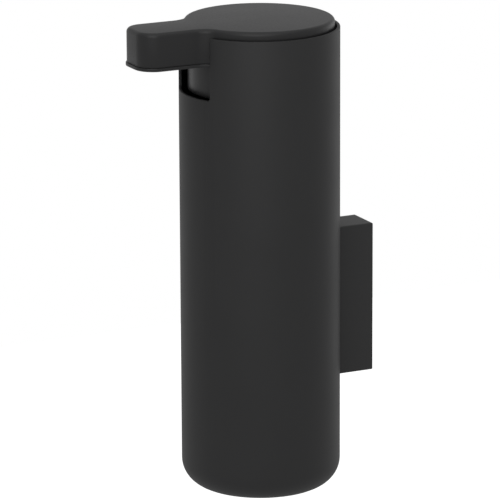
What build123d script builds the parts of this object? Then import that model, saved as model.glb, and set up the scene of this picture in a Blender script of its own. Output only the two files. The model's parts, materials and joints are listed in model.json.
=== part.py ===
from build123d import *
import os
from math import sqrt

# Wall mounted soap dispenser.
# A deep-drawn steel tube with a rounded closed bottom hangs on a slim box bracket, which hooks over a plate
# screwed to the wall. A plastic container stands in the tube. A pump unit closes the container: a carrier
# lid with a seal ring, a pump cylinder with its guide, gasket and collar, an inlet ball and a dip tube.
# The head is a round cap with a square-sided spout arm, which runs in a slot cut down from the tube's rim.
# Its skirt closes the slot from inside. Pressing the head moves the stem and the piston down.
#
# Frame: origin on the wall, at the centre of the bracket. +Y points into the wall, +Z up, and the spout
# points along -Y. All sizes are in millimetres.

# ---------------------------------------------------------------- driving dimensions
# housing tube
tube_d = 60.0
tube_h = 176.5
tube_wall = 1.2
tube_round = 10.0
rim_bevel = 0.3
standoff = 13.9
tube_drop = 69.0

# head: the cap, its spout arm, the arm's cover and the skirt
head_gap = 0.75
head_rise = 3.15
head_top = 2.0
head_edge = 1.6
lip_wall = 1.3
lip_depth = 4.0
arm_w = 20.6
arm_overhang = 21.7
arm_h = 12.9
arm_wall = 1.6
arm_tip_round = 7.0
arm_blend = 7.0
cover_t = 1.25
cover_proud = 0.4
cover_rib = 1.0
cover_fit = 0.15
skirt_wall = 1.4
skirt_fit = 0.05
skirt_edge = 0.5

# press stroke and the slot that the arm runs in
stroke = 11.0
stroke_clear = 1.4
slot_gap = 3.1
slot_corner = 1.6
press_clear = 0.8

# soap way in the head
stem_r = 3.5
stem_bore = 2.0
socket_r = 6.0
channel_r = 3.4
channel_bore = 2.2
channel_below_rim = 4.2
nozzle_setback = 9.0
nozzle_r = 3.5
nozzle_bore = 1.6
nozzle_drop = 1.2
nozzle_collar = 4.6
nozzle_collar_t = 0.8
socket_ring_t = 1.4
socket_ring_h = 1.7

# pump: carrier lid, collar, cylinder, guide, piston, valve and tube
carrier_t = 2.4
carrier_gap = 0.5
plug_depth = 8.0
plug_wall = 2.0
plug_gap = 0.3
seal_wire = 1.7
seal_gap = 0.05
seal_groove = 2.2
gasket_t = 1.0
flange_r = 11.0
flange_t = 1.5
pocket_gap = 0.3
boss_wall = 3.7
collar_wall = 1.8
collar_lip_t = 1.2
collar_hole = 8.5
thread_gap = 0.2
grip_ribs = 36
grip_rib_r = 0.45
barrel_bore = 6.5
barrel_wall = 1.3
guide_depth = 6.0
guide_gap = 0.1
guide_lead = 0.4
vent_r = 0.5
vent_drop = 1.0
piston_h = 8.4
piston_gap = 0.05
piston_slip = 1.4
piston_play = 0.1
piston_rest_gap = 0.8
piston_web = 1.2
piston_lip = 0.75
piston_lip_waist = 0.35
piston_lip_flare = 0.6
piston_lip_inset = 1.0
neck_r = 2.6
neck_bore = 1.3
hub_wall = 1.5
port_w = 1.8
port_h = 1.3
plug_pin_r = 4.4
plug_pin_t = 2.8
plug_shank = 3.0
plug_flat = 0.8
plug_bevel = 0.9
barrel_end_gap = 2.0
ball_r = 2.4
ball_chamber = 3.0
ball_lift = 1.5
ball_play = 0.3
ball_seat_clear = 0.02
inlet_bore = 1.5
inlet_land = 1.0
spigot_wall = 1.6
spigot_depth = 9.0
dip_r = 3.0
dip_bore = 2.0
dip_clear = 2.4
dip_cut_angle = 40.0

# return spring, outside the soap way
spring_wire = 0.9
spring_r = 5.0
spring_solid = 7.0
spring_turns = 5.5

# container
container_gap = 1.8
container_wall = 1.4
container_round = 9.0
container_lip_t = 2.0
lip_round = 0.5

# bracket, wall plate and fasteners
bracket_w = 15.0
bracket_h = 57.5
bracket_wall = 2.0
bracket_floor = 5.0
bracket_cavity = 9.0
bracket_edge = 0.5
plate_gap = 0.4
plate_t = 2.5
plate_flange = 8.0
plate_flange_t = 2.0
wall_hole_r = 2.25
wall_hole_pitch = 32.0
tap_r = 2.0
tap_gap = 0.05
through_gap = 0.2
bracket_screw_pitch = 30.0
screw_head_r = 3.6
screw_head_h = 1.2
screw_key = 2.5
grub_back = 6.0
grub_recess = 0.6
grub_key = 2.0
grub_key_depth = 2.2
grub_cone = 1.2

# ---------------------------------------------------------------- places worked out from them
tube_r = tube_d / 2
bore_r = tube_r - tube_wall
axis_to_wall = tube_r + standoff
tube_bottom = -tube_drop
rim = tube_bottom + tube_h
tube_floor = tube_bottom + tube_wall

head_r = bore_r - head_gap
head_top_z = rim + head_rise
head_under = head_top_z - head_top
arm_reach = tube_r + arm_overhang
arm_bottom = head_top_z - arm_h
cover_bottom = arm_bottom - cover_t
slot_w = arm_w + 2 * slot_gap
slot_bottom = cover_bottom - stroke - stroke_clear
skirt_seat_r = head_r - lip_wall
skirt_r = skirt_seat_r - skirt_fit
skirt_bore = skirt_r - skirt_wall

carrier_top = slot_bottom - stroke - press_clear
carrier_under = carrier_top - carrier_t
carrier_r = bore_r - carrier_gap
gasket_top = carrier_top + gasket_t
flange_top = gasket_top + flange_t
guide_top = flange_top + flange_t
collar_top = guide_top + collar_lip_t
boss_r = flange_r + pocket_gap + boss_wall
collar_r = boss_r + thread_gap + collar_wall
socket_bottom = guide_top + spring_solid + stroke

channel_z = rim - channel_below_rim
nozzle_y = arm_reach - nozzle_setback
stem_top = channel_z - channel_bore

guide_bottom = flange_top - guide_depth
piston_top = guide_bottom - piston_slip - piston_rest_gap
piston_bottom = piston_top - piston_h
shoulder_z = piston_top + piston_slip + piston_play
plug_bottom = piston_bottom - plug_pin_t
barrel_end = plug_bottom - stroke - barrel_end_gap
barrel_r = barrel_bore + barrel_wall
bead_z = barrel_end - (barrel_bore - ball_chamber)
seat_slope_r = ball_r / sqrt(2)
seat_z = bead_z - ball_play - ball_lift - ball_r - 2 * seat_slope_r + ball_chamber
ball_z = seat_z - ball_chamber + 2 * seat_slope_r + ball_seat_clear
inlet_z = seat_z - (ball_chamber - inlet_bore)
spigot_r = dip_r + spigot_wall
dip_top = inlet_z - inlet_land
spigot_bottom = dip_top - spigot_depth

container_r = bore_r - container_gap
container_bore = container_r - container_wall
container_floor = tube_floor + container_wall
dip_bottom = container_floor + dip_clear
plug_r = container_bore - plug_gap
seal_z = carrier_under - plug_depth / 2

cavity_low = -bracket_h / 2 + bracket_floor
cavity_high = bracket_h / 2 - bracket_wall
plate_low = cavity_low + plate_gap
plate_high = cavity_high
plate_w = bracket_w - 2 * bracket_wall - plate_gap
head_seat = axis_to_wall - sqrt(bore_r**2 - screw_head_r**2)

pump_axis = Axis((0, -axis_to_wall, 0), (0, 0, 1))
section = Plane((0, -axis_to_wall, 0), x_dir=(1, 0, 0), z_dir=(0, -1, 0))
STANDING = (Align.CENTER, Align.CENTER, Align.MIN)


def level(height):
    """The plane across the tube's axis at this height."""
    return Plane((0, -axis_to_wall, height))


def facing(depth):
    """The upright plane at this depth in front of the wall, seen from the room, with its Y up."""
    return Plane((0, -depth, 0), x_dir=(1, 0, 0), z_dir=(0, -1, 0))


def disc(radius, low, high, mode=Mode.ADD):
    """A cylinder on the tube's axis between two heights."""
    with Locations(level(low)):
        Cylinder(radius, high - low, align=STANDING, mode=mode)


def save(piece, name):
    """Labels the finished piece and writes its file."""
    piece.part.label = name
    export_step(piece.part, f"parts/{name}.step")


os.makedirs("parts", exist_ok=True)

# ---------------------------------------------------------------- housing tube
with BuildPart() as tube_housing:
    with BuildSketch(section) as shell_section:
        with BuildLine():
            Polyline(
                (0, tube_bottom),
                (tube_r, tube_bottom),
                (tube_r, rim),
                (bore_r, rim),
                (bore_r, tube_floor),
                (0, tube_floor),
                close=True,
            )
        make_face()
        fillet(shell_section.vertices().sort_by_distance((tube_r, tube_bottom))[0], tube_round)
        fillet(shell_section.vertices().sort_by_distance((bore_r, tube_floor))[0], tube_round - tube_wall)
        chamfer(shell_section.vertices().group_by(Axis.Y)[-1], rim_bevel)
    revolve(axis=pump_axis)
    slot_h = head_top_z - slot_bottom
    with BuildSketch(facing(axis_to_wall)) as slot_outline:
        with Locations((0, slot_bottom)):
            Rectangle(slot_w, slot_h, align=(Align.CENTER, Align.MIN))
        fillet(slot_outline.vertices().group_by(Axis.Y)[0], slot_corner)
    extrude(amount=tube_d, mode=Mode.SUBTRACT)
    with BuildSketch(facing(0)):
        with GridLocations(0, bracket_screw_pitch, 1, 2):
            Circle(tap_r + through_gap)
    extrude(amount=axis_to_wall, mode=Mode.SUBTRACT)

# ---------------------------------------------------------------- bracket block
with BuildPart() as bracket_block:
    with BuildSketch(facing(0)):
        RectangleRounded(bracket_w, bracket_h, bracket_edge)
    extrude(amount=axis_to_wall)
    disc(tube_r, tube_bottom, rim, mode=Mode.SUBTRACT)
    split(bisect_by=facing(axis_to_wall), keep=Keep.BOTTOM)
    with BuildSketch(facing(0)):
        with Locations((0, cavity_low)):
            Rectangle(bracket_w - 2 * bracket_wall, cavity_high - cavity_low, align=(Align.CENTER, Align.MIN))
    extrude(amount=bracket_cavity, mode=Mode.SUBTRACT)
    with BuildSketch(facing(0)):
        with GridLocations(0, bracket_screw_pitch, 1, 2):
            Circle(tap_r + tap_gap)
    extrude(amount=axis_to_wall, mode=Mode.SUBTRACT)
    with Locations((0, -grub_back, -bracket_h / 2)):
        Cylinder(tap_r + tap_gap, bracket_floor, align=STANDING, mode=Mode.SUBTRACT)

# ---------------------------------------------------------------- wall plate
with BuildPart() as wall_plate:
    with BuildSketch(facing(0)):
        with Locations((0, plate_low)):
            Rectangle(plate_w, plate_high - plate_low, align=(Align.CENTER, Align.MIN))
    extrude(amount=plate_flange)
    with BuildSketch(facing(plate_t)):
        with Locations((0, plate_low + plate_flange_t)):
            inside_h = plate_high - plate_low - 2 * plate_flange_t
            Rectangle(plate_w, inside_h, align=(Align.CENTER, Align.MIN))
    extrude(amount=plate_flange, mode=Mode.SUBTRACT)
    with BuildSketch(facing(0)):
        with GridLocations(0, wall_hole_pitch, 1, 2):
            Circle(wall_hole_r)
    extrude(amount=plate_t, mode=Mode.SUBTRACT)

# ---------------------------------------------------------------- fasteners
with BuildPart() as grub_screw:
    grub_low = -bracket_h / 2 + grub_recess
    with Locations((0, -grub_back, grub_low)):
        Cylinder(tap_r, plate_low - grub_low, align=STANDING)
    chamfer(grub_screw.edges().filter_by(GeomType.CIRCLE).group_by(Axis.Z)[-1], grub_cone)
    with BuildSketch(Plane((0, -grub_back, grub_low))):
        RegularPolygon(grub_key / 2, 6, major_radius=False)
    extrude(amount=grub_key_depth, mode=Mode.SUBTRACT)

with BuildPart() as bracket_screws:
    with BuildSketch(facing(bracket_cavity)):
        with GridLocations(0, bracket_screw_pitch, 1, 2):
            Circle(tap_r)
    extrude(amount=head_seat - bracket_cavity)
    with BuildSketch(facing(head_seat)):
        with GridLocations(0, bracket_screw_pitch, 1, 2):
            Circle(screw_head_r)
    extrude(amount=screw_head_h)
    fillet(bracket_screws.faces().sort_by(Axis.Y)[:2].edges(), screw_head_h / 3)
    with BuildSketch(facing(head_seat + screw_head_h)):
        with GridLocations(0, bracket_screw_pitch, 1, 2):
            RegularPolygon(screw_key / 2, 6, major_radius=False)
    extrude(amount=-screw_head_h, mode=Mode.SUBTRACT)

# ---------------------------------------------------------------- container
with BuildPart() as container:
    lip_under = carrier_under - container_lip_t
    with BuildSketch(section) as cup_section:
        with BuildLine():
            Polyline(
                (0, tube_floor),
                (container_r, tube_floor),
                (container_r, lip_under),
                (carrier_r, lip_under),
                (carrier_r, carrier_under),
                (container_bore, carrier_under),
                (container_bore, container_floor),
                (0, container_floor),
                close=True,
            )
        make_face()
        outer_corner = cup_section.vertices().sort_by_distance((container_r, tube_floor))[0]
        fillet(outer_corner, container_round)
        inner_corner = cup_section.vertices().sort_by_distance((container_bore, container_floor))[0]
        fillet(inner_corner, container_round - container_wall)
    revolve(axis=pump_axis)

# ---------------------------------------------------------------- pump carrier lid and its seal
with BuildPart() as pump_carrier:
    disc(carrier_r, carrier_under, carrier_top)
    disc(plug_r, carrier_under - plug_depth, carrier_under)
    disc(plug_r - plug_wall, carrier_under - plug_depth, carrier_under, mode=Mode.SUBTRACT)
    disc(boss_r, carrier_top, guide_top - thread_gap)
    disc(flange_r + pocket_gap, carrier_top, guide_top, mode=Mode.SUBTRACT)
    disc(barrel_r + pocket_gap, carrier_under, carrier_top, mode=Mode.SUBTRACT)
    with BuildSketch(section):
        with Locations((plug_r, seal_z)):
            Rectangle(2 * (seal_wire - plug_gap + seal_gap), seal_groove)
    revolve(axis=pump_axis, mode=Mode.SUBTRACT)
    fillet(pump_carrier.edges().filter_by(GeomType.CIRCLE).sort_by(SortBy.RADIUS)[-2:], lip_round)

with BuildPart() as seal_ring:
    with Locations(level(seal_z)):
        Torus(container_bore - seal_gap - seal_wire / 2, seal_wire / 2)

with BuildPart() as pump_collar:
    disc(collar_r, carrier_top + thread_gap, collar_top)
    fillet(pump_collar.edges().filter_by(GeomType.CIRCLE).group_by(Axis.Z)[-1], lip_round)
    with Locations(level(carrier_top + thread_gap)):
        with PolarLocations(collar_r, grip_ribs):
            Cylinder(grip_rib_r, collar_top - carrier_top - 2 * collar_lip_t, align=STANDING)
    disc(boss_r + thread_gap, carrier_top, guide_top, mode=Mode.SUBTRACT)
    disc(collar_hole, carrier_top, collar_top, mode=Mode.SUBTRACT)

with BuildPart() as neck_gasket:
    disc(flange_r, carrier_top, gasket_top)
    disc(barrel_r + pocket_gap, carrier_top, gasket_top, mode=Mode.SUBTRACT)

# ---------------------------------------------------------------- pump cylinder with its valve seat
with BuildPart() as pump_cylinder:
    disc(flange_r, gasket_top, flange_top)
    with BuildSketch(section):
        with BuildLine():
            Polyline(
                (0, gasket_top),
                (barrel_r, gasket_top),
                (barrel_r, barrel_end),
                (spigot_r, barrel_end - (barrel_r - spigot_r)),
                (spigot_r, spigot_bottom),
                (0, spigot_bottom),
                close=True,
            )
        make_face()
    revolve(axis=pump_axis)
    with BuildSketch(section):
        with BuildLine():
            Polyline(
                (0, flange_top),
                (barrel_bore, flange_top),
                (barrel_bore, barrel_end),
                (ball_chamber, bead_z),
                (ball_r - ball_play, bead_z - ball_play),
                (ball_chamber, bead_z - 2 * ball_play),
                (ball_chamber, seat_z),
                (inlet_bore, inlet_z),
                (inlet_bore, dip_top),
                (dip_r, dip_top),
                (dip_r, spigot_bottom),
                (0, spigot_bottom),
                close=True,
            )
        make_face()
    revolve(axis=pump_axis, mode=Mode.SUBTRACT)
    with BuildSketch(facing(axis_to_wall)):
        with Locations((0, guide_bottom - vent_drop)):
            Circle(vent_r)
    extrude(amount=barrel_r, mode=Mode.SUBTRACT)

with BuildPart() as inlet_ball:
    with Locations(level(ball_z)):
        Sphere(ball_r)

with BuildPart() as dip_tube:
    disc(dip_r, dip_bottom, dip_top)
    disc(dip_bore, dip_bottom, dip_top, mode=Mode.SUBTRACT)
    split(bisect_by=level(dip_bottom + dip_r).rotated((0, dip_cut_angle, 0)), keep=Keep.TOP)

with BuildPart() as stem_guide:
    disc(flange_r, flange_top, guide_top)
    disc(barrel_bore, guide_bottom, flange_top)
    chamfer(stem_guide.edges().filter_by(GeomType.CIRCLE).group_by(Axis.Z)[0], guide_lead)
    disc(stem_r + guide_gap, guide_bottom, guide_top, mode=Mode.SUBTRACT)

# ---------------------------------------------------------------- stem, piston and its valve plug
with BuildPart() as pump_stem:
    disc(stem_r, shoulder_z, stem_top)
    disc(neck_r, piston_bottom, shoulder_z)
    disc(stem_bore, shoulder_z + stem_bore, stem_top, mode=Mode.SUBTRACT)
    disc(neck_bore, piston_bottom, shoulder_z + stem_bore, mode=Mode.SUBTRACT)
    with BuildSketch(facing(axis_to_wall)):
        with Locations((0, piston_bottom)):
            Rectangle(port_w, port_h, align=(Align.CENTER, Align.MIN))
    extrude(amount=stem_r, both=True, mode=Mode.SUBTRACT)

with BuildPart() as piston_seal:
    hub_r = neck_r + piston_play + hub_wall
    lip_r = barrel_bore - piston_gap
    lip_root = lip_r - piston_lip_waist - piston_lip
    web_z = (piston_top + piston_bottom) / 2
    web_top = web_z + piston_web / 2
    web_under = web_z - piston_web / 2
    with BuildSketch(section):
        with BuildLine():
            Polyline(
                (neck_r + piston_play, piston_top),
                (hub_r, piston_top),
                (hub_r, web_top),
                (lip_root, web_top),
                (lip_r - piston_lip_flare, piston_top - piston_lip_inset),
                (lip_r, piston_top - piston_lip_flare),
                (lip_r - piston_lip_waist, web_z),
                (lip_r, piston_bottom + piston_lip_flare),
                (lip_r - piston_lip_flare, piston_bottom + piston_lip_inset),
                (lip_root, web_under),
                (hub_r, web_under),
                (hub_r, piston_bottom),
                (neck_r + piston_play, piston_bottom),
                close=True,
            )
        make_face()
    revolve(axis=pump_axis)

with BuildPart() as piston_plug:
    disc(plug_pin_r, plug_bottom, piston_bottom)
    chamfer(piston_plug.edges().filter_by(GeomType.CIRCLE).group_by(Axis.Z)[0], plug_bevel)
    with BuildSketch(level(piston_bottom)):
        Circle(neck_bore)
        Rectangle(2 * neck_bore, 2 * plug_flat, mode=Mode.INTERSECT)
    extrude(amount=plug_shank)

with BuildPart() as return_spring:
    coil_h = socket_bottom - guide_top - spring_wire
    coil = Helix(coil_h / spring_turns, coil_h, spring_r, mode=Mode.PRIVATE)
    coil = coil.moved(Location((0, -axis_to_wall, guide_top + spring_wire / 2)))
    with BuildSketch(Plane(coil @ 0, z_dir=coil % 0)):
        Circle(spring_wire / 2)
    sweep(path=coil, is_frenet=True)

# ---------------------------------------------------------------- soap way: stem socket, channel and nozzle
nozzle_seat = arm_bottom + nozzle_collar_t
with BuildPart() as soap_channel:
    disc(socket_r, socket_bottom, head_under)
    with BuildSketch(facing(axis_to_wall)):
        with Locations((0, channel_z)):
            Circle(channel_r)
    extrude(amount=nozzle_y)
    with Locations((0, -axis_to_wall - nozzle_y, channel_z)):
        Sphere(channel_r)
        Cylinder(channel_r, channel_z - nozzle_seat, align=(Align.CENTER, Align.CENTER, Align.MAX))
    with BuildSketch(facing(axis_to_wall)):
        with Locations((0, channel_z)):
            Circle(channel_bore)
    extrude(amount=nozzle_y, mode=Mode.SUBTRACT)
    with Locations((0, -axis_to_wall - nozzle_y, channel_z)):
        Sphere(channel_bore, mode=Mode.SUBTRACT)
        bore_h = channel_z - nozzle_seat
        Cylinder(channel_bore, bore_h, align=(Align.CENTER, Align.CENTER, Align.MAX), mode=Mode.SUBTRACT)
    disc(channel_bore, stem_top, channel_z, mode=Mode.SUBTRACT)
    disc(stem_r, socket_bottom, stem_top, mode=Mode.SUBTRACT)

with BuildPart() as nozzle_tip:
    with Locations((0, -axis_to_wall - nozzle_y, cover_bottom - nozzle_drop)):
        Cylinder(nozzle_r, nozzle_drop + cover_t, align=STANDING)
    fillet(nozzle_tip.edges().filter_by(GeomType.CIRCLE).group_by(Axis.Z)[0], nozzle_drop / 2)
    with Locations((0, -axis_to_wall - nozzle_y, arm_bottom)):
        Cylinder(nozzle_collar, nozzle_collar_t, align=STANDING)
    with Locations((0, -axis_to_wall - nozzle_y, nozzle_seat)):
        Cylinder(channel_bore, channel_bore, align=STANDING)
    with Locations((0, -axis_to_wall - nozzle_y, cover_bottom - nozzle_drop)):
        Cylinder(nozzle_bore, arm_h, align=STANDING, mode=Mode.SUBTRACT)

# ---------------------------------------------------------------- head: plan outline of the cap with its arm
with BuildSketch() as head_plan:
    Circle(head_r)
    with BuildSketch(mode=Mode.ADD) as arm_plan:
        Rectangle(arm_w, arm_reach, align=(Align.CENTER, Align.MAX))
        fillet(arm_plan.vertices().group_by(Axis.Y)[0], arm_tip_round)
    root_y = -sqrt(head_r**2 - (arm_w / 2) ** 2)
    root_left = head_plan.vertices().sort_by_distance((-arm_w / 2, root_y))[0]
    fillet(root_left, arm_blend)
    root_right = head_plan.vertices().sort_by_distance((arm_w / 2, root_y))[0]
    fillet(root_right, arm_blend)

with BuildSketch() as arm_inside_plan:
    inside_w = arm_w - 2 * arm_wall
    Rectangle(inside_w, arm_reach - arm_wall, align=(Align.CENTER, Align.MAX))
    fillet(arm_inside_plan.vertices().group_by(Axis.Y)[0], arm_tip_round - arm_wall)

with BuildPart() as head_cap:
    extrude(to_extrude=head_plan.sketch.moved(Location(level(arm_bottom))), amount=arm_h)
    fillet(head_cap.faces().sort_by(Axis.Z)[-1].edges(), head_edge)
    # below the lip only the arm stays, and it ends at the skirt
    lip_bottom = rim - lip_depth
    arm_root_y = sqrt(skirt_seat_r**2 - (arm_w / 2 + arm_blend / 2) ** 2)
    with Locations((0, -axis_to_wall - arm_root_y, arm_bottom)):
        below = lip_bottom - arm_bottom
        Box(tube_d, tube_d, below, align=(Align.CENTER, Align.MIN, Align.MIN), mode=Mode.SUBTRACT)
    disc(skirt_seat_r, arm_bottom, head_under, mode=Mode.SUBTRACT)
    extrude(
        to_extrude=arm_inside_plan.sketch.moved(Location(level(arm_bottom))),
        amount=head_under - arm_bottom,
        mode=Mode.SUBTRACT,
    )
    disc(socket_r + pocket_gap + socket_ring_t, head_under - socket_ring_h, head_under)
    disc(socket_r + guide_gap, head_under - socket_ring_h, head_under, mode=Mode.SUBTRACT)

with BuildPart() as spout_cover:
    with BuildSketch() as cover_plan:
        add(head_plan.sketch)
        offset(amount=cover_proud)
    extrude(to_extrude=cover_plan.sketch.moved(Location(level(cover_bottom))), amount=cover_t)
    with Locations((0, -axis_to_wall - arm_root_y, cover_bottom)):
        Box(tube_d, tube_d, cover_t, align=(Align.CENTER, Align.MIN, Align.MIN), mode=Mode.SUBTRACT)
    with BuildSketch() as rib_plan:
        add(arm_inside_plan.sketch)
        offset(amount=-cover_fit)
        offset(amount=-cover_rib, mode=Mode.SUBTRACT)
    extrude(to_extrude=rib_plan.sketch.moved(Location(level(arm_bottom))), amount=cover_rib)
    disc(skirt_seat_r + cover_fit, cover_bottom, arm_bottom + cover_rib, mode=Mode.SUBTRACT)
    with Locations((0, -axis_to_wall - nozzle_y, cover_bottom)):
        Cylinder(nozzle_r + tap_gap, cover_t, align=STANDING, mode=Mode.SUBTRACT)

with BuildPart() as head_skirt:
    disc(skirt_r, slot_bottom, head_under)
    fillet(head_skirt.edges().filter_by(GeomType.CIRCLE).group_by(Axis.Z)[0], skirt_edge)
    disc(skirt_bore, slot_bottom, head_under, mode=Mode.SUBTRACT)
    notch_r = channel_r + pocket_gap
    with BuildSketch(facing(axis_to_wall)):
        with Locations((0, channel_z)):
            Circle(notch_r)
            Rectangle(2 * notch_r, head_under - channel_z, align=(Align.CENTER, Align.MIN))
    extrude(amount=tube_r, mode=Mode.SUBTRACT)

pieces = {
    "tube_housing": tube_housing,
    "bracket_block": bracket_block,
    "wall_plate": wall_plate,
    "grub_screw": grub_screw,
    "bracket_screws": bracket_screws,
    "container": container,
    "pump_carrier": pump_carrier,
    "seal_ring": seal_ring,
    "pump_collar": pump_collar,
    "neck_gasket": neck_gasket,
    "pump_cylinder": pump_cylinder,
    "inlet_ball": inlet_ball,
    "dip_tube": dip_tube,
    "stem_guide": stem_guide,
    "pump_stem": pump_stem,
    "piston_seal": piston_seal,
    "piston_plug": piston_plug,
    "return_spring": return_spring,
    "soap_channel": soap_channel,
    "nozzle_tip": nozzle_tip,
    "head_cap": head_cap,
    "spout_cover": spout_cover,
    "head_skirt": head_skirt,
}
for name, piece in pieces.items():
    save(piece, name)
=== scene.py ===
# %% [markdown]
# # A wall mounted soap dispenser in matte black
# The dispenser is a drawn steel tube on a slim wall bracket. A container stands in the tube, a
# pump closes the container, and a round cap with a flat spout arm is pressed down to pump soap.
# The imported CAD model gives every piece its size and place. The pieces that the eye meets first
# need soft edges and smooth rounds, so this lesson builds them again with bmesh operators. The
# others keep their CAD mesh and get a finish of their own.

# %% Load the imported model
import json
import math

import bmesh
import bpy
from mathutils import Matrix, Quaternion, Vector


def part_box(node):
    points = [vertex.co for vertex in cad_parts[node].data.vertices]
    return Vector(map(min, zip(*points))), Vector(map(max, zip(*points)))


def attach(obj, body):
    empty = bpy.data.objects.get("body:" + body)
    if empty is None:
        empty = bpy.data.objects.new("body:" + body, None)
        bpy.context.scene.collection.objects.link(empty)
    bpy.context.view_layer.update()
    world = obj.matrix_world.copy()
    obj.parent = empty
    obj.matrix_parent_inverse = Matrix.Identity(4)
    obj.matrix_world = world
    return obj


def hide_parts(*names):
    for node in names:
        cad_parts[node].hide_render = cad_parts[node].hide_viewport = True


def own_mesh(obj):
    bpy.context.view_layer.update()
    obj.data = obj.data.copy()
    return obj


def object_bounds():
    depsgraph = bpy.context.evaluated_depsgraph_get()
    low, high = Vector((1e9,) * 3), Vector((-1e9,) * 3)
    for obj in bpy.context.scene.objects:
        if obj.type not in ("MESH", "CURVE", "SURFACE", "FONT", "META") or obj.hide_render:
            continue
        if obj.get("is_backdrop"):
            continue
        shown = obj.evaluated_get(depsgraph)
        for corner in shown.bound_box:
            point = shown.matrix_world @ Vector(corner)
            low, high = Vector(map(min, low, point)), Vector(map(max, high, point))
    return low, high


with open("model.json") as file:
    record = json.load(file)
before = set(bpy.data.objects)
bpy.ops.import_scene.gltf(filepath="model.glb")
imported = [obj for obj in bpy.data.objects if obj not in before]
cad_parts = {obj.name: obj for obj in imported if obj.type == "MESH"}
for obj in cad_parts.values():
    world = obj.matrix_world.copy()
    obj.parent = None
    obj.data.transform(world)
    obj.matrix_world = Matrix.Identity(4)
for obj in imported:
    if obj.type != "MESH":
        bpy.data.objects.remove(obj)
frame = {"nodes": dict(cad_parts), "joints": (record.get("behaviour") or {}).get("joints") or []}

cad_low, cad_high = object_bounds()
print("nodes:", len(frame["nodes"]))

# %% [markdown]
# ## Measures
# Places come from the boxes of the CAD nodes, so a piece made here can't drift from the design.
# Only what a box can't tell, such as a wall's thickness or a corner's radius, is written down.
# All lengths are in metres, as in the CAD model, and MM turns a number of millimetres into them.

# %% Read the main measures off the CAD nodes
MM = 0.001
tube_low, tube_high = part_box("tube_housing")
AXIS_Y = (tube_low.y + tube_high.y) / 2
TUBE_R = (tube_high.x - tube_low.x) / 2
TUBE_BOTTOM = tube_low.z
RIM = tube_high.z

cap_low, cap_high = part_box("head_cap")
HEAD_R = (cap_high.x - cap_low.x) / 2
HEAD_TOP = cap_high.z
ARM_BOTTOM = cap_low.z
ARM_REACH = AXIS_Y - cap_low.y

skirt_low, skirt_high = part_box("head_skirt")
SKIRT_R = (skirt_high.x - skirt_low.x) / 2
SLOT_BOTTOM = skirt_low.z

print(f"tube {2 * TUBE_R / MM:.1f} mm wide, {(RIM - TUBE_BOTTOM) / MM:.1f} mm tall")
print(f"spout reaches {ARM_REACH / MM:.1f} mm from the tube's axis")

# %% [markdown]
# ## Working with bmesh
# A bmesh is a mesh on the bench: operators cut, spin and bevel it, and at the end it becomes an
# ordinary object. One helper does that last step for every piece. It also marks the edges that
# stay sharp, so that rounds shade smoothly and flats stay flat. The others round edges, because
# an edge on a real thing is never quite sharp, and its round is what catches the light.

# %% Helpers that round and finish a piece
SMOOTH_BELOW = math.radians(34)
SHARP_FROM = math.radians(50)


def on_axis(height=0.0):
    """A point on the tube's axis."""
    return Vector((0, AXIS_Y, height))


def make_piece(bm, name, body, node):
    """Turns a finished bmesh into a piece that rides on a body and stands for a CAD node."""
    mesh = bpy.data.meshes.new(name)
    bm.to_mesh(mesh)
    bm.free()
    mesh.shade_smooth()
    mesh.set_sharp_from_angle(angle=SMOOTH_BELOW)
    piece = bpy.data.objects.new(name, mesh)
    bpy.context.scene.collection.objects.link(piece)
    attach(piece, body)
    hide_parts(node)
    print(f"{name}: {len(mesh.polygons)} faces")
    return piece


def bevel(bm, geom, offset, segments, affect="EDGES"):
    """Rounds edges, or the corners of a wire outline."""
    bmesh.ops.bevel(
        bm, geom=geom, offset=offset, segments=segments, profile=0.5, affect=affect, material=-1
    )


def soften(bm, width, segments=2):
    """Rounds every sharp edge between two faces and returns how many there were."""
    edges = [edge for edge in bm.edges if edge.calc_face_angle(0) > SHARP_FROM]
    bevel(bm, edges, width, segments)
    return len(edges)


# %% [markdown]
# ## Turned shapes
# The tube, the skirt and the container are round, so each starts as half of its section. The
# corners are typed in as radius, height and rounding. Each rounding is a vertex bevel on the wire,
# and spin carries the wire once round the axis. A wire that starts and ends on the axis makes a
# closed body. A wire that doesn't makes a skin, which gets its thickness later.


# %% Spin an outline about the tube's axis
SAME_PLACE = 0.001 * MM


def spin_outline(bm, outline, steps, round_segments=8):
    """Spins (radius, height, rounding) corners about the axis, with faces pointing outwards."""
    corners = [bm.verts.new((radius, AXIS_Y, height)) for radius, height, rounding in outline]
    for first, second in zip(corners, corners[1:]):
        bm.edges.new((first, second))
    for corner, (radius, height, rounding) in zip(corners, outline):
        if rounding:
            bevel(bm, [corner], rounding, round_segments, affect="VERTICES")
    wire = list(bm.verts) + list(bm.edges)
    bmesh.ops.spin(
        bm, geom=wire, cent=on_axis(), axis=(0, 0, 1), angle=math.tau, steps=steps, use_merge=True
    )
    bmesh.ops.remove_doubles(bm, verts=bm.verts, dist=SAME_PLACE)
    bmesh.ops.recalc_face_normals(bm, faces=bm.faces)


# %% [markdown]
# ## Windows in a skin
# The tube has a slot and two screw holes, the skirt has a notch, and the cover and the bracket
# have a round hole each. A boolean would leave rough shading on such thin walls. Here each side
# of the window is a plane. The skin is bisected with one plane after another, only what is still
# inside is cut again, and what is inside all the planes is deleted. The level planes go first, so
# that no upright cut runs on through the wall below. The skin gets its thickness afterwards, so
# the cut walls come for free.


# %% Cut a window out of a skin
ON_PLANE = 0.0001 * MM


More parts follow.
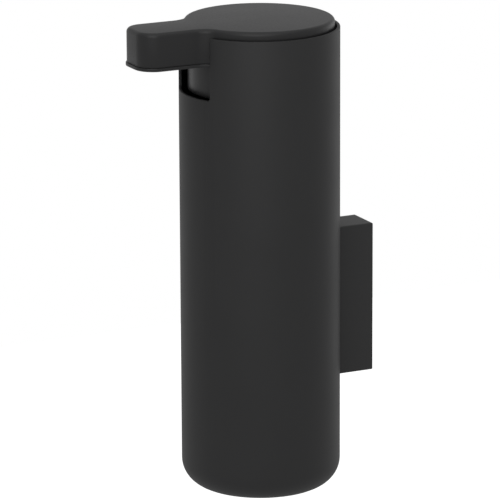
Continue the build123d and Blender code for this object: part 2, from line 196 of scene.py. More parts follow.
def cut_window(bm, sides, near):
    """Deletes the skin inside all sides, each a point on the edge and the way out of it."""
    inside = [face for face in bm.faces if near(face.calc_center_median())]
    level_first = sorted(sides, key=lambda side: -abs(side[1].z))
    for point, outward in level_first:
        geometry = set(inside)
        for face in inside:
            geometry.update(face.edges)
            geometry.update(face.verts)
        cut = bmesh.ops.bisect_plane(
            bm, geom=list(geometry), dist=ON_PLANE, plane_co=point, plane_no=outward
        )
        faces = [item for item in cut["geom"] if isinstance(item, bmesh.types.BMFace)]
        inside = [face for face in faces if (face.calc_center_median() - point).dot(outward) < 0]
    bmesh.ops.delete(bm, geom=inside, context="FACES")


# %% The sides of slots and round holes
QUARTER_TURN = range(0, 91, 15)


def slot_sides(half_width, floor, corner):
    """The sides of a slot that is open at the top, with rounded corners at its floor."""
    sides = []
    for hand in (-1, 1):
        centre = Vector((hand * (half_width - corner), 0, floor + corner))
        for degrees in QUARTER_TURN:
            angle = math.radians(degrees)
            outward = Vector((hand * math.cos(angle), 0, -math.sin(angle)))
            sides.append((centre + outward * corner, outward))
    return sides


def hole_sides(centre, radius, across, count):
    """The sides of a round hole whose face lies along X and along the way across."""
    sides = []
    for number in range(count):
        angle = math.tau * number / count
        outward = Vector((math.cos(angle), 0, 0)) + math.sin(angle) * Vector(across)
        sides.append((centre + outward * radius, outward))
    return sides


# %% [markdown]
# ## The steel tube
# The real tube is drawn from sheet steel, with a closed round bottom, and the slot is cut out of
# it before it is coated. The skin is spun, cut, and thickened inwards by the sheet's thickness.
# The coating rounds every cut edge a little, and that thin bright line along the rim and the slot
# is what makes the wall read as sheet metal.

# %% Spin the tube, cut its slot and screw holes, and thicken it
STEEL = 1.2 * MM
TUBE_ROUND = 10.0 * MM
TUBE_STEPS = 190
SLOT_HALF = 13.4 * MM
SLOT_CORNER = 1.6 * MM
SCREW_HOLE_R = 2.2 * MM
SCREW_PITCH = 30.0 * MM
COATED_EDGE = 0.28 * MM

tube = bmesh.new()
tube_outline = [(0, TUBE_BOTTOM, 0), (TUBE_R, TUBE_BOTTOM, TUBE_ROUND), (TUBE_R, RIM, 0)]
spin_outline(tube, tube_outline, TUBE_STEPS, round_segments=12)


def on_side_wall(at, half_width):
    """True for a place on the straight wall, this near to the middle plane."""
    return abs(at.x) < half_width and at.z > TUBE_BOTTOM + TUBE_ROUND


cut_window(
    tube,
    slot_sides(SLOT_HALF, SLOT_BOTTOM, SLOT_CORNER),
    near=lambda at: at.y < AXIS_Y and on_side_wall(at, SLOT_HALF + MM),
)
for height in (-SCREW_PITCH / 2, SCREW_PITCH / 2):
    cut_window(
        tube,
        hole_sides(Vector((0, 0, height)), SCREW_HOLE_R, across=(0, 0, 1), count=12),
        near=lambda at: at.y > AXIS_Y and on_side_wall(at, 2 * SCREW_HOLE_R),
    )
bmesh.ops.solidify(tube, geom=tube.faces[:], thickness=STEEL)
bmesh.ops.recalc_face_normals(tube, faces=tube.faces)
print("edges rounded by the coating:", soften(tube, COATED_EDGE))
housing_shell = make_piece(tube, "housing_shell", "housing", "tube_housing")

# %% [markdown]
# ## The cap and its spout arm
# The cap is one moulding: a shallow round lid that runs into a square-sided arm with a round tip.
# Its outline is drawn once as a wire. The lid's circle is cut off where the arm's blends touch
# it, and the arm's corners are four wire corners that get rounded. The same outline, a hair
# larger, makes the cover under the arm, which is why it is a function.

# %% Draw the arm's outline
ARM_HALF = 10.3 * MM
ARM_BLEND = 7.0 * MM
BLEND_SEGMENTS = 10
ARM_TIP_ROUND = 7.0 * MM
TIP_SEGMENTS = 12


def blend_touch(grow=0.0):
    """Where the arm's blend touches the lid's circle, as seen from the axis."""
    centre_x = ARM_HALF + ARM_BLEND
    centre_y = math.sqrt((HEAD_R + ARM_BLEND) ** 2 - centre_x**2)
    share = (HEAD_R + grow) / (HEAD_R + ARM_BLEND)
    return Vector((centre_x * share, -centre_y * share, 0))


def draw_arm(bm, grow=0.0):
    """Draws the arm's outline as a wire from one blend round the tip to the other."""
    touch = blend_touch(grow)
    side = ARM_HALF + grow
    root_y = ((HEAD_R + grow) ** 2 - side * touch.x) / touch.y
    root = Vector((side, root_y, 0))
    tip = Vector((side, -ARM_REACH - grow, 0))
    right = [touch, root, tip]
    places = right + [Vector((-at.x, at.y, 0)) for at in reversed(right)]
    corners = [bm.verts.new(on_axis() + place) for place in places]
    for first, second in zip(corners, corners[1:]):
        bm.edges.new((first, second))
    for corner in (corners[1], corners[4]):
        bevel(bm, [corner], (touch - root).length, BLEND_SEGMENTS, affect="VERTICES")
    for corner in (corners[2], corners[3]):
        bevel(bm, [corner], ARM_TIP_ROUND + grow, TIP_SEGMENTS, affect="VERTICES")


# %% Draw the arc that closes an outline
ARC_SEGMENTS = 160


def draw_arc(bm, radius, cut_y, keep_front):
    """Adds a circle about the axis and keeps its part in front of or behind a line."""
    before = set(bm.verts)
    place = Matrix.Translation(on_axis())
    bmesh.ops.create_circle(bm, radius=radius, segments=ARC_SEGMENTS, matrix=place)
    verts = [vert for vert in bm.verts if vert not in before]
    edges = {edge for vert in verts for edge in vert.link_edges}
    way_out = (0, 1, 0) if keep_front else (0, -1, 0)
    bmesh.ops.bisect_plane(
        bm,
        geom=verts + list(edges),
        dist=ON_PLANE,
        plane_co=on_axis() + Vector((0, cut_y, 0)),
        plane_no=way_out,
        clear_outer=True,
    )


# %% [markdown]
# The closed wire becomes the top face. Its rim is extruded down to the lid's lip, and only the
# arm's part goes on down to the arm's lower edge. The top edge gets its round while the shell is
# still a skin, and then the skin is thickened inwards, as a moulding's wall is. The lid is thicker
# than the walls, so its underside is lowered to where the soap channel's socket meets it.

# %% Raise the cap from its outline
LIP_DEPTH = 4.0 * MM
MOULDED_WALL = 1.3 * MM
MOULDED_EDGE = 0.2 * MM
CAP_EDGE = 1.6 * MM
LID_THICKNESS = 2.0 * MM
OUTLINE_GAP = 0.05 * MM
CLOSE = 0.01 * MM
lip_bottom = RIM - LIP_DEPTH
lid_underside = HEAD_TOP - LID_THICKNESS

cap = bmesh.new()
draw_arm(cap)
draw_arc(cap, HEAD_R, blend_touch().y, keep_front=False)
bmesh.ops.remove_doubles(cap, verts=cap.verts, dist=OUTLINE_GAP)
bmesh.ops.contextual_create(cap, geom=cap.edges[:])
bmesh.ops.translate(cap, verts=cap.verts, vec=(0, 0, HEAD_TOP))
top_rim = cap.edges[:]
walls = bmesh.ops.extrude_edge_only(cap, edges=top_rim)["geom"]
lip_verts = [item for item in walls if isinstance(item, bmesh.types.BMVert)]
bmesh.ops.translate(cap, verts=lip_verts, vec=(0, 0, lip_bottom - HEAD_TOP))
arm_starts = AXIS_Y + blend_touch().y + CLOSE
arm_rim = [
    edge
    for edge in cap.edges
    if all(vert in lip_verts and vert.co.y < arm_starts for vert in edge.verts)
]
deeper = bmesh.ops.extrude_edge_only(cap, edges=arm_rim)["geom"]
arm_verts = [item for item in deeper if isinstance(item, bmesh.types.BMVert)]
bmesh.ops.translate(cap, verts=arm_verts, vec=(0, 0, ARM_BOTTOM - lip_bottom))
bmesh.ops.recalc_face_normals(cap, faces=cap.faces)
bevel(cap, top_rim, CAP_EDGE, segments=6)

# %% Thicken the cap and lower the lid's underside
outside = set(cap.verts)
bmesh.ops.solidify(cap, geom=cap.faces[:], thickness=MOULDED_WALL)
for vert in cap.verts:
    if vert not in outside:
        vert.co.z = min(vert.co.z, lid_underside)
bmesh.ops.recalc_face_normals(cap, faces=cap.faces)
print("edges of the cap rounded:", soften(cap, MOULDED_EDGE))

# %% [markdown]
# A short ring hangs from the middle of the lid and grips the socket of the soap channel. It is
# turned on its own from a closed section, which starts a little inside the lid so that the two
# hold together, and is then added to the cap's bmesh through a mesh.

# %% Hang the ring that grips the socket
socket_low, socket_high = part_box("soap_channel")
RING_GAP = 0.1 * MM
RING_WALL = 1.3 * MM
RING_HEIGHT = 1.7 * MM
RING_ROOT = 0.3 * MM
socket_r = (socket_high.x - socket_low.x) / 2

ring = bmesh.new()
ring_in = socket_r + RING_GAP
ring_out = ring_in + RING_WALL
ring_top = lid_underside + RING_ROOT
ring_end = lid_underside - RING_HEIGHT
ring_outline = [
    (ring_in, ring_top, 0),
    (ring_in, ring_end, 0),
    (ring_out, ring_end, 0),
    (ring_out, ring_top, 0),
    (ring_in, ring_top, 0),
]
spin_outline(ring, ring_outline, steps=64)
ring_mesh = bpy.data.meshes.new("socket_ring")
ring.to_mesh(ring_mesh)
ring.free()
cap.from_mesh(ring_mesh)
bpy.data.meshes.remove(ring_mesh)
cap_with_spout = make_piece(cap, "cap_with_spout", "head", "head_cap")

# %% [markdown]
# ## The cover under the arm
# A thin plate closes the arm from below. It stands a little proud all round, and the fine line
# of light and shadow along it is how one sees that it is a separate piece. The arm's outline is
# drawn again, a little larger, closed at the back by the arc of the skirt, and given the plate's
# thickness. The nozzle's hole is a window whose sides stand upright.

# %% Make the cover plate with its nozzle hole
COVER_PROUD = 0.4 * MM
COVER_EDGE = 0.18 * MM
SKIRT_CLEAR = 0.2 * MM
NOZZLE_HOLE_R = 3.55 * MM
HOLE_SIDES = 24
cover_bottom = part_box("spout_cover")[0].z
nozzle_low, nozzle_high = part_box("nozzle_tip")
nozzle = Vector((0, (nozzle_low.y + nozzle_high.y) / 2, ARM_BOTTOM))

cover = bmesh.new()
draw_arm(cover, COVER_PROUD)
draw_arc(cover, SKIRT_R + SKIRT_CLEAR, blend_touch(COVER_PROUD).y, keep_front=True)
ends = [vert for vert in cover.verts if len(vert.link_edges) == 1]
for hand in (-1, 1):
    pair = [vert for vert in ends if vert.co.x * hand > 0]
    cover.edges.new(pair)
bmesh.ops.contextual_create(cover, geom=cover.edges[:])
bmesh.ops.translate(cover, verts=cover.verts, vec=(0, 0, ARM_BOTTOM))
nozzle_hole = hole_sides(nozzle, NOZZLE_HOLE_R, across=(0, 1, 0), count=HOLE_SIDES)
cut_window(cover, nozzle_hole, near=lambda at: True)
bmesh.ops.recalc_face_normals(cover, faces=cover.faces)
if cover.faces[:][0].normal.z > 0:
    bmesh.ops.reverse_faces(cover, faces=cover.faces)
bmesh.ops.translate(cover, verts=cover.verts, vec=(0, 0, cover_bottom - ARM_BOTTOM))
bmesh.ops.solidify(cover, geom=cover.faces[:], thickness=ARM_BOTTOM - cover_bottom)
bmesh.ops.recalc_face_normals(cover, faces=cover.faces)
print("edges of the cover rounded:", soften(cover, COVER_EDGE))
cover_plate = make_piece(cover, "arm_cover_plate", "head", "spout_cover")

# %% [markdown]
# ## The skirt behind the slot
# Behind the slot, a short cylinder hangs from the cap and hides the works. It is turned like the
# tube, as a skin, and its notch lets the soap channel out into the arm.

# %% Turn the skirt and notch it for the channel
SKIRT_WALL = 1.4 * MM
SKIRT_EDGE = 0.5 * MM
SKIRT_STEPS = 128
NOTCH_R = 3.7 * MM
NOTCH_CORNER = 0.99 * NOTCH_R
CHANNEL_BELOW_RIM = 4.2 * MM
skirt_top = skirt_high.z - CLOSE
notch_floor = RIM - CHANNEL_BELOW_RIM - NOTCH_R

skirt = bmesh.new()
spin_outline(skirt, [(SKIRT_R, skirt_low.z, 0), (SKIRT_R, skirt_top, 0)], SKIRT_STEPS)
notch = slot_sides(NOTCH_R, notch_floor, NOTCH_CORNER)
cut_window(skirt, notch, near=lambda at: at.y < AXIS_Y and abs(at.x) < NOTCH_R + MM)
bmesh.ops.solidify(skirt, geom=skirt.faces[:], thickness=SKIRT_WALL)
bmesh.ops.recalc_face_normals(skirt, faces=skirt.faces)
print("edges of the skirt rounded:", soften(skirt, SKIRT_EDGE, segments=4))
inner_skirt = make_piece(skirt, "slot_skirt", "head", "head_skirt")

# %% [markdown]
# ## The bracket block
# The block is a slim milled box. Its front is hollowed to sit on the tube, and its back is open,
# so that it hooks over the wall plate. The open back is an inset that is pushed inwards, and the
# outer edges are rounded, except those that lie on the tube.

# %% Mill the bracket block
BLOCK_WALL = 2.0 * MM
BLOCK_FLOOR = 5.0 * MM
BLOCK_CAVITY = 9.0 * MM
BLOCK_EDGE = 0.45 * MM
block_low, block_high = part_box("bracket_block")

block = bmesh.new()
bmesh.ops.create_cube(block, size=1.0, matrix=Matrix.Translation((0.5, 0.5, 0.5)))
bmesh.ops.scale(block, verts=block.verts, vec=block_high - block_low)
bmesh.ops.translate(block, verts=block.verts, vec=block_low)
back = max(block.faces, key=lambda face: face.calc_center_median().y)
bmesh.ops.inset_region(block, faces=[back], thickness=BLOCK_WALL, use_even_offset=True)
lower_rim = sorted(back.verts, key=lambda vert: vert.co.z)[:2]
bmesh.ops.translate(block, verts=lower_rim, vec=(0, 0, BLOCK_FLOOR - BLOCK_WALL))
pushed = bmesh.ops.extrude_face_region(block, geom=[back])["geom"]
deep = [item for item in pushed if isinstance(item, bmesh.types.BMVert)]
bmesh.ops.translate(block, verts=deep, vec=(0, -BLOCK_CAVITY, 0))
bmesh.ops.delete(block, geom=[back], context="FACES")


# %% Round the block's outer edges
def on_outside(edge):
    """True for the block's own outer edges, but not for those that lie on the tube."""
    ends = [vert.co for vert in edge.verts]
    levels = (block_low.z, block_high.z)
    on_side = all(abs(abs(end.x) - block_high.x) < CLOSE for end in ends)
    on_level = all(min(abs(end.z - level) for level in levels) < CLOSE for end in ends)
    behind_tube = any(end.y > block_low.y + MM for end in ends)
    return (on_side or on_level) and behind_tube


outer = [
    edge for edge in block.edges if on_outside(edge) and edge.calc_face_angle(0) > SHARP_FROM
]
bevel(block, outer, BLOCK_EDGE, segments=3)
print("edges of the block rounded:", len(outer))

# %% [markdown]
# A grub screw comes up through the block's floor and locks the block on the wall plate. Its hole
# is a window in the floor's lower face and another in its upper face, and bridge_loops makes the
# hole's wall between the two.

# %% Drill the grub screw's hole
GRUB_HOLE_R = 2.05 * MM
grub_low, grub_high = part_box("grub_screw")
grub = Vector((0, (grub_low.y + grub_high.y) / 2, 0))
grub_hole = hole_sides(grub, GRUB_HOLE_R, across=(0, 1, 0), count=HOLE_SIDES)
for level in (block_low.z, block_low.z + BLOCK_FLOOR):
    cut_window(block, grub_hole, near=lambda at: abs(at.z - level) < CLOSE)
rims = [edge for edge in block.edges if edge.is_boundary]
bmesh.ops.bridge_loops(block, edges=rims)
print("edges round the grub screw's hole:", len(rims))

# %% [markdown]
# The front is still flat. It is sliced into upright columns of one millimetre, and the corners of
# the columns are moved back on to the tube's circle.

# %% Fit the block's front to the tube
for column in range(-6, 7):
    bmesh.ops.bisect_plane(
        block,
        geom=block.verts[:] + block.edges[:] + block.faces[:],
        dist=SAME_PLACE,
        plane_co=(column * MM, 0, 0),
        plane_no=(1, 0, 0),
    )
for vert in block.verts:
    if vert.co.y < block_low.y + CLOSE:
        vert.co.y = AXIS_Y + math.sqrt(TUBE_R**2 - vert.co.x**2)
bmesh.ops.recalc_face_normals(block, faces=block.faces)
bracket = make_piece(block, "wall_bracket", "housing", "bracket_block")

# %% [markdown]
# ## The container
# The soap stands in a blow-moulded container of frosted plastic, with a thin wall, a generous
# round at its foot and a lip that the pump's lid rests on. Its section starts and ends on the
# axis, so one spin makes the whole closed body, inside and outside.

# %% Turn the container
CONTAINER_WALL = 1.4 * MM
CONTAINER_ROUND = 9.0 * MM
CONTAINER_LIP = 2.0 * MM
CONTAINER_GAP = 1.8 * MM
CONTAINER_R = TUBE_R - STEEL - CONTAINER_GAP
NECK_ROUND = 0.4 * MM
LIP_ROUND = 0.5 * MM
MOUTH_ROUND = 0.3 * MM
box_low, box_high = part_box("container")
lip_r = (box_high.x - box_low.x) / 2
bore = CONTAINER_R - CONTAINER_WALL

container = bmesh.new()
container_outline = [
    (0, box_low.z, 0),
    (CONTAINER_R, box_low.z, CONTAINER_ROUND),
    (CONTAINER_R, box_high.z - CONTAINER_LIP, NECK_ROUND),
    (lip_r, box_high.z - CONTAINER_LIP, LIP_ROUND),
    (lip_r, box_high.z, LIP_ROUND),
    (bore, box_high.z, MOUTH_ROUND),
    (bore, box_low.z + CONTAINER_WALL, CONTAINER_ROUND - CONTAINER_WALL),
    (0, box_low.z + CONTAINER_WALL, 0),
]
spin_outline(container, container_outline, steps=128, round_segments=6)
soap_container = make_piece(
    container, "soap_container", "container", "container"
)

# %% [markdown]
# ## The return spring
# A spring is the classic use of spin's dvec: while the wire's section goes round the axis, it also
# climbs a little with each step. The first and last turns climb by one wire, which closes the ends
# so that the spring stands flat, and the turns between climb further.

# %% Wind the spring
SPRING_R = 5.0 * MM
WIRE_R = 0.45 * MM
WIRE_SIDES = 14
OPEN_TURNS = 3.5
STEPS_PER_TURN = 40
CLOSED_PITCH = 1.02
press = next(joint for joint in frame["joints"] if joint["name"] == "pump_press")
guide_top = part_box("stem_guide")[1].z
socket_bottom = socket_low.z
spring_h = socket_bottom - guide_top
end_rise = 2 * WIRE_R * CLOSED_PITCH
open_rise = (spring_h - 2 * WIRE_R - 2 * end_rise) / OPEN_TURNS

spring = bmesh.new()
start = on_axis(guide_top + WIRE_R) + Vector((SPRING_R, 0, 0))
upright_circle = Matrix.Translation(start) @ Matrix.Rotation(math.radians(90), 4, "X")
bmesh.ops.create_circle(spring, radius=WIRE_R, segments=WIRE_SIDES, matrix=upright_circle)
section = list(spring.verts) + list(spring.edges)
for turns, rise in ((1.0, end_rise), (OPEN_TURNS, open_rise), (1.0, end_rise)):
    steps = round(turns * STEPS_PER_TURN)
    wound = bmesh.ops.spin(
        spring,
        geom=section,
        cent=on_axis(),
        axis=(0, 0, 1),
        dvec=(0, 0, rise / STEPS_PER_TURN),
        angle=math.tau * turns,
        steps=steps,
    )
    section = wound["geom_last"]
bmesh.ops.holes_fill(spring, edges=[edge for edge in spring.edges if edge.is_boundary])
bmesh.ops.recalc_face_normals(spring, faces=spring.faces)
coil = make_piece(spring, "return_coil", "pump", "return_spring")
stroke = max(press["range_m"])
left = 1 - stroke / spring_h
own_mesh(coil)
print(f"spring: {spring_h / MM:.1f} mm tall, {stroke / MM:.1f} mm of stroke")

# %% [markdown]
# ## Finishes: shader maths as expressions
# A finish is a small sum: mostly a base value, plus a little of one pattern and a little of
# another. Wrapping a socket in a class with + - and * lets that sum be written as one, and the
# class adds the Math nodes. Every other node comes from one method, which sets the node's own
# settings first and then its sockets, with values or with links.


# %% A socket that can be added and multiplied
class Signal:
    """One output in a tree of nodes. Sums and products on it add Math nodes."""

    def __init__(self, nodes, socket):
        self.nodes = nodes
        self.socket = socket

    def maths(self, operation, first, second):
        return self.nodes.node("ShaderNodeMath", {"operation": operation}, {0: first, 1: second})

    def __add__(self, other):
        return self.maths("ADD", self, other)

    def __sub__(self, other):
        return self.maths("SUBTRACT", self, other)

    def __rsub__(self, other):
        return self.maths("SUBTRACT", other, self)

    def __mul__(self, other):
        return self.maths("MULTIPLY", self, other)

    __radd__ = __add__
    __rmul__ = __mul__


# %% A tree of nodes around one shader
class NodeTree:
    """The nodes of a material or of the world, around the shader that they all feed."""

    def __init__(self, owner, shader_name):
        owner.use_nodes = True
        self.tree = owner.node_tree
        self.shader = self.tree.nodes[shader_name]

    def node(self, kind, settings=None, sockets=None, output=0):
        """Adds a node, sets its own settings first, and then its sockets to values or links."""
        made = self.tree.nodes.new(kind)
        for key, value in (settings or {}).items():
            setattr(made, key, value)
        for key, value in (sockets or {}).items():
            if isinstance(value, Signal):
                self.tree.links.new(value.socket, made.inputs[key])
            else:
                made.inputs[key].default_value = value
        return Signal(self, made.outputs[output])

    def feed(self, socket, signal):
        """Links a signal to one of the shader's own sockets."""
        self.tree.links.new(signal.socket, self.shader.inputs[socket])


# %% A finish around one Principled shader
FLAT = 0.5
EDGE_GAIN = 5.0


class Finish(NodeTree):
    """A material whose even values sit on the shader's sockets and whose patterns are nodes."""

    def __init__(self, name, values):
        self.material = bpy.data.materials.new(name)
        super().__init__(self.material, "Principled BSDF")
        for socket, value in values.items():
            self.shader.inputs[socket].default_value = value
        self.place = self.node("ShaderNodeTexCoord", output="Object")

    def stretched(self, scale):
        """The object's coordinates, stretched by a scale for each axis."""
        return self.node("ShaderNodeMapping", sockets={"Vector": self.place, "Scale": scale})

    def noise(self, scale, detail=2.0, place=None):
        """Soft noise with this many spots to a metre."""
        sockets = {"Vector": place or self.place, "Scale": scale, "Detail": detail}
        return self.node("ShaderNodeTexNoise", sockets=sockets)

    def cells(self, scale):
        """The distance to the nearest of scattered points, as in a grain of small craters."""
        return self.node("ShaderNodeTexVoronoi", sockets={"Vector": self.place, "Scale": scale})

    def worn_edges(self):
        """Zero on flats and up to one on outer edges, where a finish gets rubbed."""
        pointed = self.node("ShaderNodeNewGeometry", output="Pointiness")
        return self.node("ShaderNodeClamp", sockets={"Value": (pointed - FLAT) * EDGE_GAIN})

    def colour(self, factor, low, high):
        """Base colour between two greys or colours."""
        sockets = {0: factor, 6: (*low, 1.0), 7: (*high, 1.0)}
        mixed = self.node("ShaderNodeMix", {"data_type": "RGBA"}, sockets, output=2)
        self.feed("Base Color", mixed)

    def relief(self, height, depth, strength):
        """Raises the surface's shading by a pattern of this depth."""
        sockets = {"Height": height, "Distance": depth, "Strength": strength}
        self.feed("Normal", self.node("ShaderNodeBump", sockets=sockets))


# %% [markdown]
# ## The blacks
# Seen side by side, the coated steel and the moulded plastic are nearly the same black, and the
# grain sets them apart. The coating is a fine even orange peel with broad, faint changes of gloss
# from handling. The plastic has the crisp grain of a spark-eroded mould. Both rub a touch lighter
# along their outer edges.


# %% Coated steel and moulded plastic
def coated_black(name):
    finish = Finish(name, {"Specular IOR Level": 0.42})
    peel = finish.noise(1900.0, 3.0)
    handling = finish.noise(42.0, 3.0)
    rubbed = finish.worn_edges()
    finish.colour(0.5 * handling + 0.5 * rubbed, (0.0205, 0.0205, 0.021), (0.0335, 0.0335, 0.034))
    finish.feed("Roughness", 0.44 + 0.12 * handling + 0.05 * peel - 0.08 * rubbed)
    finish.relief(peel, 0.035 * MM, 0.5)
    return finish.material


def moulded_black(name, grain_depth=0.05):
    finish = Finish(name, {"Specular IOR Level": 0.45})
    eroded = finish.cells(1500.0) + 0.5 * finish.noise(2600.0, 2.0)
    flow = finish.noise(30.0, 4.0, finish.stretched((1.0, 0.35, 1.0)))
    rubbed = finish.worn_edges()
    finish.colour(0.5 * flow + 0.5 * rubbed, (0.0145, 0.0145, 0.015), (0.027, 0.027, 0.028))
    finish.feed("Roughness", 0.27 + 0.12 * flow + 0.05 * eroded - 0.05 * rubbed)
    finish.relief(eroded, grain_depth * MM, 0.45)
    return finish.material


coating = coated_black("matte_black_coating")
moulding = moulded_black("matte_black_moulding")
inner_moulding = moulded_black("plain_black_moulding", grain_depth=0.02)
print("blacks:", coating.name, moulding.name, inner_moulding.name)

# %% [markdown]
# ## Light plastics
# The works are made of milky polypropylene and soft seals. Light goes a little way into these, so
# they get some subsurface scattering, and the long faint waves of a moulding's flow change their
# colour and gloss. The container is blown thin and is frosted, so its relief is finer.


# %% Milky plastics and rubber
def milky_plastic(name, low, high, rough, depth, stretch):
    finish = Finish(name, {"Subsurface Weight": 0.25, "Subsurface Scale": 2 * MM})
    flow = finish.noise(60.0, 4.0, finish.stretched(stretch))
    frost = finish.noise(1600.0, 2.0)
    finish.colour(flow, low, high)
    finish.feed("Roughness", rough + 0.12 * flow + 0.06 * frost)
    finish.relief(frost + 0.6 * flow, depth * MM, 0.4)
    return finish.material


def soft_rubber(name, low, high):
    finish = Finish(name, {"Specular IOR Level": 0.3})
    bloom = finish.noise(220.0, 4.0)
    skin = finish.noise(3000.0, 2.0)
    finish.colour(bloom, low, high)
    finish.feed("Roughness", 0.62 + 0.2 * bloom)
    finish.relief(skin, 0.03 * MM, 0.4)
    return finish.material


frosted = milky_plastic(
    "frosted_container",
    low=(0.63, 0.65, 0.645),
    high=(0.75, 0.77, 0.76),
    rough=0.36,
    depth=0.05,
    stretch=(1, 1, 0.2),
)
natural = milky_plastic(
    "natural_polypropylene",
    low=(0.75, 0.75, 0.71),
    high=(0.85, 0.85, 0.82),
    rough=0.3,
    depth=0.03,
    stretch=(1, 1, 1),
)
tubing = milky_plastic(
    "milky_tubing",
    low=(0.66, 0.68, 0.675),
    high=(0.78, 0.8, 0.79),
    rough=0.22,
    depth=0.02,
    stretch=(1, 1, 0.1),
)
rubber = soft_rubber("black_rubber", (0.018, 0.018, 0.018), (0.035, 0.034, 0.033))
silicone = soft_rubber("pale_silicone", (0.5, 0.5, 0.47), (0.62, 0.62, 0.59))
print("plastics and rubber:", frosted.name, natural.name, tubing.name, rubber.name, silicone.name)

# %% [markdown]
# ## Metals
# Metals differ in the direction of their marks. Drawn wire is scratched along its length, turned
# screws have rings, and zinc on the wall plate grows in patches of crystal. One function takes the
# stretch of the scratches, and the plate's patches come from Voronoi cells.


# %% Drawn, turned and zinc-coated metal
def bright_metal(name, low, high, rough, stretch):
    finish = Finish(name, {"Metallic": 1.0})
    marks = finish.noise(900.0, 5.0, finish.stretched(stretch))
    stain = finish.noise(90.0, 3.0)
    finish.colour(0.6 * marks + 0.4 * stain, low, high)
    finish.feed("Roughness", rough + 0.18 * marks + 0.08 * stain)
    finish.relief(marks, 0.02 * MM, 0.5)
    return finish.material


def zinc_plate(name):
    finish = Finish(name, {"Metallic": 1.0})
    sockets = {"Vector": finish.place, "Scale": 520.0}
    patches = finish.node("ShaderNodeTexVoronoi", sockets=sockets, output="Color")
    crystal = finish.node("ShaderNodeSeparateColor", sockets={0: patches})
    dull = finish.noise(1200.0, 3.0)
    finish.colour(crystal, (0.46, 0.47, 0.49), (0.58, 0.59, 0.6))
    finish.feed("Roughness", 0.4 + 0.08 * crystal + 0.1 * dull)
    finish.relief(dull, 0.02 * MM, 0.4)
    return finish.material


metals = {
    "drawn_spring_wire": ((0.42, 0.42, 0.41), (0.62, 0.61, 0.6), 0.22, (1, 1, 0.15)),
    "turned_stainless": ((0.46, 0.46, 0.45), (0.62, 0.61, 0.6), 0.26, (1, 0.1, 1)),
    "black_oxide_steel": ((0.035, 0.035, 0.038), (0.08, 0.08, 0.085), 0.38, (1, 1, 0.2)),
    "polished_ball_steel": ((0.6, 0.6, 0.6), (0.68, 0.68, 0.68), 0.08, (1, 1, 1)),
}
drawn_wire, stainless, black_oxide, ball_steel = (
    bright_metal(name, low, high, rough, stretch)
    for name, (low, high, rough, stretch) in metals.items()
)
zinc = zinc_plate("zinc_coated_plate")
print("metals:", drawn_wire.name, stainless.name, black_oxide.name, ball_steel.name, zinc.name)

# %% [markdown]
# ## Who gets which finish
# A piece that was made here gets its material added to its mesh. A CAD node keeps its mesh, and
# each of its material slots is given the finish instead.

# %% Give every piece its finish
made_pieces = {
    housing_shell: coating,
    bracket: coating,
    cap_with_spout: moulding,
    cover_plate: moulding,
    inner_skirt: moulding,
    soap_container: frosted,
    coil: drawn_wire,
}
for piece, material in made_pieces.items():
    piece.data.materials.append(material)

node_finishes = {
    "wall_plate": zinc,
    "grub_screw": black_oxide,
    "bracket_screws": stainless,
    "pump_carrier": natural,
    "pump_collar": natural,
    "pump_cylinder": natural,
    "stem_guide": natural,
    "pump_stem": natural,
    "piston_plug": natural,
    "dip_tube": tubing,
    "inlet_ball": ball_steel,
    "piston_seal": silicone,
    "seal_ring": rubber,
    "neck_gasket": rubber,
    "soap_channel": inner_moulding,
    "nozzle_tip": inner_moulding,
}
for name, material in node_finishes.items():
    for material_slot in frame["nodes"][name].material_slots:
        material_slot.material = material
print("finishes:", len(bpy.data.materials))

# %% [markdown]
# ## The studio
# The dispenser hangs in a white studio. The camera sees a pure white surround, while the surround
# that lights the object is much dimmer, because a matte black thing in a fully white room turns
# grey. The Light Path node tells the two apart, and a sum makes the strength. The floor shines a
# little by itself for the same reason, and is left out of what lights the object.

# %% Surround and floor
bpy.context.scene.view_settings.view_transform = "Standard"
SURROUND_SEEN = 1.0
SURROUND_FELT = 0.44
FLOOR_BELOW = 1.8
FLOOR_HALF = 6.0
FLOOR_GLOW = 0.75

world = bpy.data.worlds.new("white_studio")
bpy.context.scene.world = world
surround = NodeTree(world, "Background")
seen_by_camera = surround.node("ShaderNodeLightPath", output="Is Camera Ray")
surround.feed("Strength", SURROUND_FELT + (SURROUND_SEEN - SURROUND_FELT) * seen_by_camera)
surround.shader.inputs["Color"].default_value = (1, 1, 1, 1)

ground = bmesh.new()
bmesh.ops.create_grid(ground, x_segments=1, y_segments=1, size=FLOOR_HALF)
bmesh.ops.translate(ground, verts=ground.verts, vec=(0, 0, TUBE_BOTTOM - FLOOR_BELOW))
floor_mesh = bpy.data.meshes.new("studio_floor")
ground.to_mesh(floor_mesh)
ground.free()
floor = bpy.data.objects.new("studio_floor", floor_mesh)
bpy.context.scene.collection.objects.link(floor)
pale = Finish("pale_floor", {"Base Color": (0.9, 0.9, 0.9, 1), "Roughness": 0.9})
pale.shader.inputs["Emission Color"].default_value = (1, 1, 1, 1)
pale.shader.inputs["Emission Strength"].default_value = FLOOR_GLOW
floor_mesh.materials.append(pale.material)
floor.visible_diffuse = False
floor.visible_glossy = False
floor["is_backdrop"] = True
print(f"surround: {SURROUND_SEEN} to the eye, {SURROUND_FELT} to the object")

# %% [markdown]
# ## Soft lights
# Four area lights stand round the dispenser. The key is beside the camera and shapes the front
# of the tube and the arm. The overhead one rakes down the tube and catches the arm's upper edge.
# The two behind are level with the object, and draw the pale lines down both of its sides and
# the sheen over the cap's top. They are broad, so that the gloss of the blacks stays soft from
# every side.


# %% Soft lights, each placed by its direction from the object
def direction(azimuth, elevation):
    """The way from the object to an observer. Azimuth 0 looks along +Y, and 90 along -X."""
    turn, lift = math.radians(azimuth), math.radians(elevation)
    return Vector(
        (math.sin(turn) * math.cos(lift), -math.cos(turn) * math.cos(lift), math.sin(lift))
    )


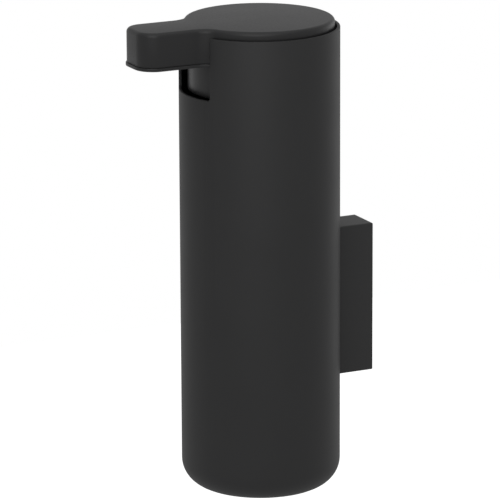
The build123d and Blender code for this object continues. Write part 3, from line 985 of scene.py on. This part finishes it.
middle = on_axis((TUBE_BOTTOM + RIM) / 2)
# azimuth and elevation in degrees, distance and size in metres, and power in watts
soft_lights = {
    "key": (58, 30, 1.3, 1.0, 2.8),
    "overhead": (64, 76, 1.3, 1.5, 2.3),
    "rear_right": (200, 0, 1.4, 0.9, 1.0),
    "rear_left": (-80, 0, 1.4, 0.9, 0.45),
}
for name, (azimuth, elevation, distance, size, watts) in soft_lights.items():
    lamp = bpy.data.lights.new(name, "AREA")
    lamp.size = size
    lamp.energy = watts
    light = bpy.data.objects.new(name, lamp)
    way = direction(azimuth, elevation)
    light.location = middle + way * distance
    light.rotation_mode = "QUATERNION"
    light.rotation_quaternion = way.to_track_quat("Z", "Y")
    bpy.context.scene.collection.objects.link(light)
print("lights:", ", ".join(soft_lights))

# %% [markdown]
# ## The camera
# A long lens from the right, a little above, keeps the tube's sides almost parallel. The camera is
# placed by its direction and its distance from a point it aims at, just like the lights.

# %% Place the camera
CAMERA_AZIMUTH = 64.10
CAMERA_ELEVATION = 14.77
CAMERA_ROLL = -0.26
CAMERA_DISTANCE = 1.5894
CAMERA_LENS = 305.6
SENSOR_WIDTH = 36.0
AIM_UP = 91.15 * MM
AIM_TO_SPOUT = 4.2 * MM
aim = on_axis(TUBE_BOTTOM + AIM_UP) - Vector((0, AIM_TO_SPOUT, 0))

camera_data = bpy.data.cameras.new("camera")
camera_data.sensor_width = SENSOR_WIDTH
camera_data.lens = CAMERA_LENS
camera = bpy.data.objects.new("camera", camera_data)
towards = direction(CAMERA_AZIMUTH, CAMERA_ELEVATION)
camera.location = aim + towards * CAMERA_DISTANCE
camera.rotation_mode = "QUATERNION"
rolled = Quaternion((0, 0, 1), math.radians(CAMERA_ROLL))
camera.rotation_quaternion = towards.to_track_quat("Z", "Y") @ rolled
bpy.context.scene.collection.objects.link(camera)
bpy.context.scene.camera = camera
print(f"camera: {CAMERA_DISTANCE} m away with a {CAMERA_LENS} mm lens")

# %% Print the CAD and visual sizes
visual_low, visual_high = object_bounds()
for axis_name, cad, visual in zip("XYZ", cad_high - cad_low, visual_high - visual_low):
    print(f"{axis_name}: CAD {cad / MM:.2f} mm, visual {visual / MM:.2f} mm")
